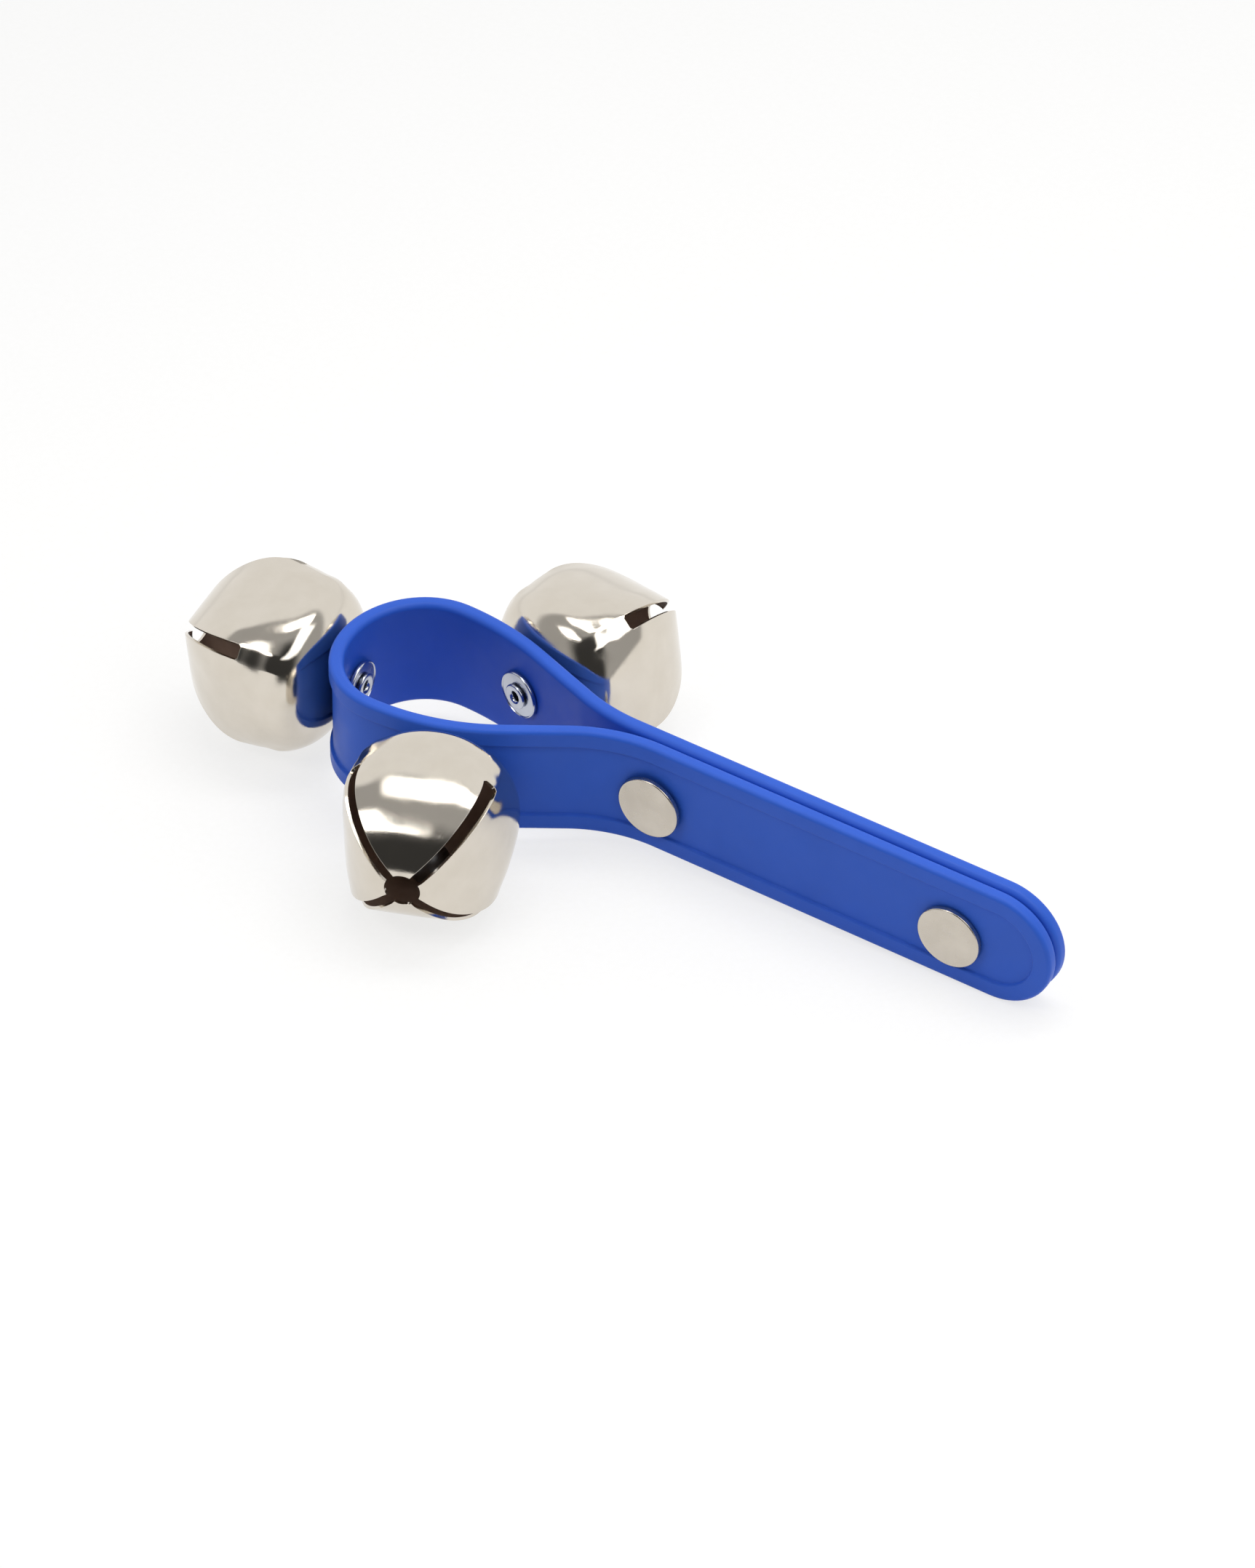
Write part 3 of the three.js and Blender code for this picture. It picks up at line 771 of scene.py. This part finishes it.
class JINGLE_OT_bell_rivets(bpy.types.Operator):
    """Model the rivets that hold the bells"""

    bl_idname = "jingle.bell_rivets"
    bl_label = "Bell Rivets"

    def execute(self, context):
        scene = context.scene
        rivets = scene.rivet_sizes
        zinc = zinc_plate(scene.finishes)
        for where in BELLS:
            place = bell_place(scene, where)
            low, high = stations(f"bell_rivet_{where}", place)
            bm = bmesh.new()
            revolve(bm, rivet_outline(rivets, low, high, rivets.bell_head,
                                      rivets.bell_head_thickness, rivets.bell_head_round),
                    steps=64)
            bmesh.ops.transform(bm, matrix=place, verts=bm.verts[:])
            piece = add_piece(f"{where}_bell_tubular_rivet", bm, zinc)
            stand_for(piece, f"bell_rivet_{where}", STRAP_BODY)
        return {"FINISHED"}


class JINGLE_OT_handle_rivets(bpy.types.Operator):
    """Model the capped rivets that hold the handle together"""

    bl_idname = "jingle.handle_rivets"
    bl_label = "Handle Rivets"

    def execute(self, context):
        scene = context.scene
        rivets = scene.rivet_sizes
        nickel = satin_nickel(scene.finishes)
        for where in HANDLE_RIVETS:
            place = handle_place(scene, where)
            low, high = stations(f"handle_rivet_{where}", place)
            bm = bmesh.new()
            revolve(bm, rivet_outline(rivets, low, high, rivets.cap,
                                      rivets.cap_thickness, rivets.cap_round),
                    steps=96, longest=0.3 * MM)
            crown(bm, high, rivets.cap, rivets.cap_crown)
            sink(bm, high, rivets.cap_mark, rivets.cap_mark_depth)
            bmesh.ops.transform(bm, matrix=place, verts=bm.verts[:])
            piece = add_piece(f"handle_{where}_capped_rivet", bm, nickel)
            stand_for(piece, f"handle_rivet_{where}", STRAP_BODY)
        return {"FINISHED"}


class JINGLE_OT_washers(bpy.types.Operator):
    """Model the washers under the rivets' curled ends"""

    bl_idname = "jingle.washers"
    bl_label = "Washers"

    def execute(self, context):
        scene = context.scene
        rivets = scene.rivet_sizes
        zinc = zinc_plate(scene.finishes)
        places = {f"bell_washer_{where}": bell_place(scene, where) for where in BELLS}
        places |= {f"handle_washer_{where}": handle_place(scene, where) for where in HANDLE_RIVETS}
        for node, place in places.items():
            low, high = stations(node, place)
            bm = bmesh.new()
            revolve(bm, [
                (low, rivets.hole, rivets.edge_break),
                (low, rivets.washer, rivets.washer_round),
                (high, rivets.washer, rivets.edge_break),
                (high, rivets.hole, rivets.edge_break),
            ], steps=80)
            crown(bm, low, rivets.washer, -rivets.washer_crown)
            bmesh.ops.transform(bm, matrix=place, verts=bm.verts[:])
            piece = add_piece(f"{node}_ring", bm, zinc)
            stand_for(piece, node, STRAP_BODY)
        return {"FINISHED"}


# Materials

def add_node(tree, kind, inputs=None, **settings):
    """Adds a node with its settings. An input that is an output socket is linked, others are set."""
    node = tree.nodes.new(kind)
    for name, value in settings.items():
        setattr(node, name, value)
    for name, value in (inputs or {}).items():
        if isinstance(value, bpy.types.NodeSocket):
            tree.links.new(value, node.inputs[name])
        else:
            node.inputs[name].default_value = value
    return node


def start_material(name):
    """Empty node material and the Object coordinates that its patterns read."""
    material = bpy.data.materials.new(name)
    material.use_nodes = True
    tree = material.node_tree
    tree.nodes.clear()
    coordinates = add_node(tree, "ShaderNodeTexCoord").outputs["Object"]
    return material, tree, coordinates


def end_material(tree, inputs):
    """Principled surface with these inputs."""
    surface = add_node(tree, "ShaderNodeBsdfPrincipled", inputs)
    add_node(tree, "ShaderNodeOutputMaterial", {"Surface": surface.outputs["BSDF"]})


def rgba(value):
    """Colour with full opacity, as a colour socket takes it."""
    return (*value, 1)


def soft_vinyl(finishes):
    """Injection-moulded soft vinyl: a strong even blue with faint flow marks and a satin skin."""
    material, tree, coordinates = start_material("Moulded soft vinyl")
    # Flow marks about 14 mm long, where the colour ran into the mould.
    flow = add_node(tree, "ShaderNodeTexNoise", {
        "Vector": coordinates, "Scale": 1 / (14 * MM), "Detail": 3,
    })
    tint = add_node(tree, "ShaderNodeMix", {
        "Factor": flow.outputs["Fac"],
        "A": rgba(finishes.vinyl),
        "B": rgba(finishes.vinyl_deep),
    }, data_type="RGBA")
    # Handling leaves satin and duller patches about 5 mm across.
    patches = add_node(tree, "ShaderNodeTexNoise", {
        "Vector": coordinates, "Scale": 1 / (5 * MM), "Detail": 2,
    })
    satin = add_node(tree, "ShaderNodeMapRange", {
        "Value": patches.outputs["Fac"],
        "From Min": 0.3,
        "From Max": 0.7,
        "To Min": 0.36,
        "To Max": 0.46,
    })
    # The mould's fine spark texture, drawn at 0.35 mm so that it still shows.
    grain = add_node(tree, "ShaderNodeTexNoise", {
        "Vector": coordinates, "Scale": 1 / (0.35 * MM), "Detail": 2,
    })
    skin = add_node(tree, "ShaderNodeBump", {
        "Height": grain.outputs["Fac"], "Strength": 1.0, "Distance": 0.012 * MM,
    })
    end_material(tree, {
        "Base Color": tint.outputs["Result"],
        "Roughness": satin.outputs["Result"],
        "Normal": skin.outputs["Normal"],
        "IOR": 1.53,
        "Specular IOR Level": 0.17,
    })
    return material


def plated_metal(name, bright, dull, smooth, rough, wave_height, grain_height):
    """Metal with a smooth or dull skin: hazy in patches, on a faintly uneven face."""
    material, tree, coordinates = start_material(name)
    # Haze in patches about 6 mm across.
    haze = add_node(tree, "ShaderNodeTexNoise", {
        "Vector": coordinates, "Scale": 1 / (6 * MM), "Detail": 4,
    })
    tint = add_node(tree, "ShaderNodeMix", {
        "Factor": haze.outputs["Fac"], "A": rgba(bright), "B": rgba(dull),
    }, data_type="RGBA")
    gloss = add_node(tree, "ShaderNodeMapRange", {
        "Value": haze.outputs["Fac"],
        "From Min": 0.35,
        "From Max": 0.7,
        "To Min": smooth,
        "To Max": rough,
    })
    # A formed face is uneven over about 4 mm. Its fine grain is drawn at 0.18 mm so that it shows.
    waves = add_node(tree, "ShaderNodeTexNoise", {
        "Vector": coordinates, "Scale": 1 / (4 * MM), "Detail": 1,
    })
    uneven = add_node(tree, "ShaderNodeBump", {
        "Height": waves.outputs["Fac"], "Strength": 1.0, "Distance": wave_height,
    })
    grains = add_node(tree, "ShaderNodeTexNoise", {
        "Vector": coordinates, "Scale": 1 / (0.18 * MM), "Detail": 2,
    })
    face = add_node(tree, "ShaderNodeBump", {
        "Height": grains.outputs["Fac"],
        "Strength": haze.outputs["Fac"],
        "Distance": grain_height,
        "Normal": uneven.outputs["Normal"],
    })
    end_material(tree, {
        "Base Color": tint.outputs["Result"],
        "Metallic": 1.0,
        "Roughness": gloss.outputs["Result"],
        "Normal": face.outputs["Normal"],
    })
    return material


def bright_nickel(finishes):
    """Nickel plate on a pressed sheet: a warm mirror, a little hazy and grained from the press."""
    return plated_metal("Bright nickel plate", finishes.nickel, finishes.nickel_dull,
                        smooth=0.06, rough=0.14, wave_height=0.02 * MM, grain_height=0.018 * MM)


def satin_nickel(finishes):
    """Nickel plate on a handled cap: warm and satin, so that reflections spread out."""
    return plated_metal("Satin nickel plate", finishes.cap, finishes.cap_dull,
                        smooth=0.2, rough=0.34, wave_height=0.01 * MM, grain_height=0.006 * MM)


def painted_shade_inside(finishes):
    """Inside of a bell: a dull brown without a mirror, darker as painted shade for the closed cavity."""
    material, tree, coordinates = start_material("Raw pressing inside")
    # Stains about 5 mm across.
    stain = add_node(tree, "ShaderNodeTexNoise", {
        "Vector": coordinates, "Scale": 1 / (5 * MM), "Detail": 4,
    })
    tint = add_node(tree, "ShaderNodeMix", {
        "Factor": stain.outputs["Fac"], "A": rgba(finishes.inside), "B": rgba(finishes.stained_inside_shade),
    }, data_type="RGBA")
    end_material(tree, {"Base Color": tint.outputs["Result"], "Roughness": 0.6})
    return material


def zinc_plate(finishes):
    """Zinc plate on turned and stamped pieces: cool, and a little duller than nickel."""
    return plated_metal("Zinc plate", finishes.zinc, finishes.zinc_dull,
                        smooth=0.15, rough=0.28, wave_height=0.01 * MM, grain_height=0.002 * MM)


def bare_steel(finishes):
    """Bare tumbled steel under a film of oil: grey, with broad dull highlights."""
    return plated_metal("Bare steel", finishes.steel, finishes.steel_dull,
                        smooth=0.3, rough=0.45, wave_height=0.02 * MM, grain_height=0.006 * MM)


# Studio

# Softboxes: place to the camera's right and towards it, width and depth, all in metres, and how
# bright the lamp's face is.
SOFTBOXES = {
    "Softbox overhead": ((0.075, -0.097), (0.43, 0.125), 5.5),
    "Softbox on the left": ((-0.37, 0.19), (0.34, 0.19), 4),
    "Softbox on the right": ((0.36, 0.295), (0.5, 0.61), 2),
}
LAMP_TINT = (1.0, 0.99, 0.97)
# The room that the metal reflects, by how far a direction points towards the camera and up. The
# white sweep fades between the first two numbers to the third, the ceiling's grey.
CEILING = (-0.04, 0.08, 0.45)
# That fades in the same way to the dark room behind the camera.
DARK_ROOM = (0.66, 0.94, 0.1)
# How much upward directions count as directions towards the camera.
CEILING_LEAN = 0.45
# Share of the paper that shows as plain white, so that it keeps only part of the shadow.
PAPER_GLOW = 0.72
# Half of the paper's width, in metres.
PAPER_REACH = 3
# Height of the camera's frame in millimetres, and how far it sees in metres.
FRAME_HEIGHT = 36
SIGHT = 20


def studio_axes(studio):
    """Level directions to the camera's right and towards it, and up."""
    right = Vector((math.cos(studio.turn), math.sin(studio.turn), 0))
    front = Vector((math.sin(studio.turn), -math.cos(studio.turn), 0))
    return right, front, Vector((0, 0, 1))


def aim_camera(scene, studio):
    """Camera at the photograph's angle, set from the strap's own axes."""
    right, front, up = studio_axes(studio)
    back = front * math.cos(studio.rise) + up * math.sin(studio.rise)
    tilted = back.cross(right)
    across = right * math.cos(studio.roll) + tilted * math.sin(studio.roll)
    upright = tilted * math.cos(studio.roll) - right * math.sin(studio.roll)
    aim = Vector((studio.aim_along, studio.aim_side, 0))
    camera = bpy.data.cameras.new("Studio camera")
    camera.sensor_fit = "VERTICAL"
    camera.sensor_height = FRAME_HEIGHT
    camera.lens = studio.focal
    camera.clip_end = SIGHT
    holder = bpy.data.objects.new("Studio camera", camera)
    holder.matrix_world = lying(scene) @ axes(across, upright, back, aim + back * studio.distance)
    scene.collection.objects.link(holder)
    scene.camera = holder


def add_softbox(scene, name, spot, size, glow):
    """Flat lamp that hangs over the table, by its place to the camera's right and towards it."""
    studio = scene.studio_settings
    right, front, up = studio_axes(studio)
    lamp = bpy.data.lights.new(name, "AREA")
    lamp.shape = "RECTANGLE"
    lamp.size, lamp.size_y = size
    lamp.energy = glow * math.pi * size[0] * size[1]
    lamp.color = LAMP_TINT
    holder = bpy.data.objects.new(name, lamp)
    place = right * spot[0] + front * spot[1] + up * studio.lamp_height
    holder.matrix_world = axes(right, -front, up, place)
    scene.collection.objects.link(holder)


def studio_world(scene, studio):
    """White sweep behind the object, under a grey ceiling and with a dark room in front."""
    world = bpy.data.worlds.new("Studio")
    world.use_nodes = True
    tree = world.node_tree
    tree.nodes.clear()
    direction = add_node(tree, "ShaderNodeTexCoord").outputs["Generated"]
    _, front, up = studio_axes(studio)
    forward = add_node(tree, "ShaderNodeVectorMath", {
        0: direction, 1: front + CEILING_LEAN * up,
    }, operation="DOT_PRODUCT").outputs["Value"]
    fades = []
    for start, end, shade in (CEILING, DARK_ROOM):
        fade = add_node(tree, "ShaderNodeMapRange", {
            "Value": forward,
            "From Min": start,
            "From Max": end,
            "To Min": 1.0,
            "To Max": shade,
        }, interpolation_type="SMOOTHSTEP")
        fades.append(fade.outputs["Result"])
    level = add_node(tree, "ShaderNodeMath", dict(enumerate(fades)), operation="MULTIPLY")
    seen = add_node(tree, "ShaderNodeLightPath").outputs["Is Camera Ray"]
    strength = add_node(tree, "ShaderNodeMath", {
        0: level.outputs["Value"], 1: seen,
    }, operation="MAXIMUM")
    sky = add_node(tree, "ShaderNodeBackground", {
        "Color": WHITE, "Strength": strength.outputs["Value"],
    })
    add_node(tree, "ShaderNodeOutputWorld", {"Surface": sky.outputs["Background"]})
    scene.world = world


def paper_sweep(finishes):
    """White studio paper, a white ground to the camera and in the metal, with a soft shadow."""
    material, tree, coordinates = start_material("White paper")
    # Paper fibre, drawn at 1.5 mm so that it still shows.
    fibre = add_node(tree, "ShaderNodeTexNoise", {
        "Vector": coordinates, "Scale": 1 / (1.5 * MM), "Detail": 3,
    })
    tint = add_node(tree, "ShaderNodeMix", {
        "Factor": fibre.outputs["Fac"], "A": rgba(finishes.floor), "B": WHITE,
    }, data_type="RGBA")
    matte = add_node(tree, "ShaderNodeBsdfDiffuse", {"Color": tint.outputs["Result"]})
    glow = add_node(tree, "ShaderNodeEmission", {"Color": WHITE, "Strength": 1.0})
    rays = add_node(tree, "ShaderNodeLightPath")
    seen = add_node(tree, "ShaderNodeMath", {
        0: rays.outputs["Is Camera Ray"], 1: rays.outputs["Is Glossy Ray"],
    }, operation="MAXIMUM")
    share = add_node(tree, "ShaderNodeMath", {
        0: seen.outputs["Value"], 1: PAPER_GLOW,
    }, operation="MULTIPLY")
    mixed = add_node(tree, "ShaderNodeMixShader", {
        "Fac": share.outputs["Value"], 1: matte.outputs["BSDF"], 2: glow.outputs["Emission"],
    })
    add_node(tree, "ShaderNodeOutputMaterial", {"Surface": mixed.outputs["Shader"]})
    return material


class JINGLE_OT_studio(bpy.types.Operator):
    """Set the floor, the soft lights and the camera"""

    bl_idname = "jingle.studio"
    bl_label = "Studio"

    def execute(self, context):
        scene = context.scene
        studio = scene.studio_settings
        scene.view_settings.view_transform = "Standard"
        bm = bmesh.new()
        bmesh.ops.create_grid(bm, x_segments=1, y_segments=1, size=PAPER_REACH)
        bmesh.ops.translate(bm, vec=(0, 0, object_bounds()[0].z), verts=bm.verts[:])
        floor = add_piece("studio_floor", bm, paper_sweep(scene.finishes))
        floor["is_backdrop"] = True
        studio_world(scene, studio)
        for name, (spot, size, glow) in SOFTBOXES.items():
            add_softbox(scene, name, spot, size, glow)
        aim_camera(scene, studio)
        return {"FINISHED"}


# Sidebar

class JINGLE_PT_sidebar(bpy.types.Panel):
    """Operators that build the jingle bell stick"""

    bl_idname = "JINGLE_PT_sidebar"
    bl_label = "Jingle Bell Stick"
    bl_space_type = "VIEW_3D"
    bl_region_type = "UI"
    bl_category = "Jingle Bells"

    def draw(self, context):
        for step in STEPS:
            self.layout.operator(step.bl_idname)


STEPS = (
    JINGLE_OT_strap,
    JINGLE_OT_bells,
    JINGLE_OT_pellets,
    JINGLE_OT_bell_rivets,
    JINGLE_OT_handle_rivets,
    JINGLE_OT_washers,
    JINGLE_OT_studio,
)

SETTINGS = {
    "strap_sizes": StrapSizes,
    "rivet_sizes": RivetSizes,
    "bell_sizes": BellSizes,
    "finishes": Finishes,
    "studio_settings": StudioSettings,
}


def register():
    """Adds the settings, the operators and the panel to Blender."""
    for kind in (*SETTINGS.values(), *STEPS, JINGLE_PT_sidebar):
        bpy.utils.register_class(kind)
    for name, kind in SETTINGS.items():
        setattr(bpy.types.Scene, name, PointerProperty(type=kind))


def unregister():
    """Takes them out again."""
    for name in SETTINGS:
        delattr(bpy.types.Scene, name)
    for kind in (JINGLE_PT_sidebar, *STEPS, *SETTINGS.values()):
        bpy.utils.unregister_class(kind)


def main():
    """Builds every piece and the studio."""
    register()
    bpy.ops.jingle.strap()
    bpy.ops.jingle.bells()
    bpy.ops.jingle.pellets()
    bpy.ops.jingle.bell_rivets()
    bpy.ops.jingle.handle_rivets()
    bpy.ops.jingle.washers()
    bpy.ops.jingle.studio()


if __name__ == "__main__":
    main()
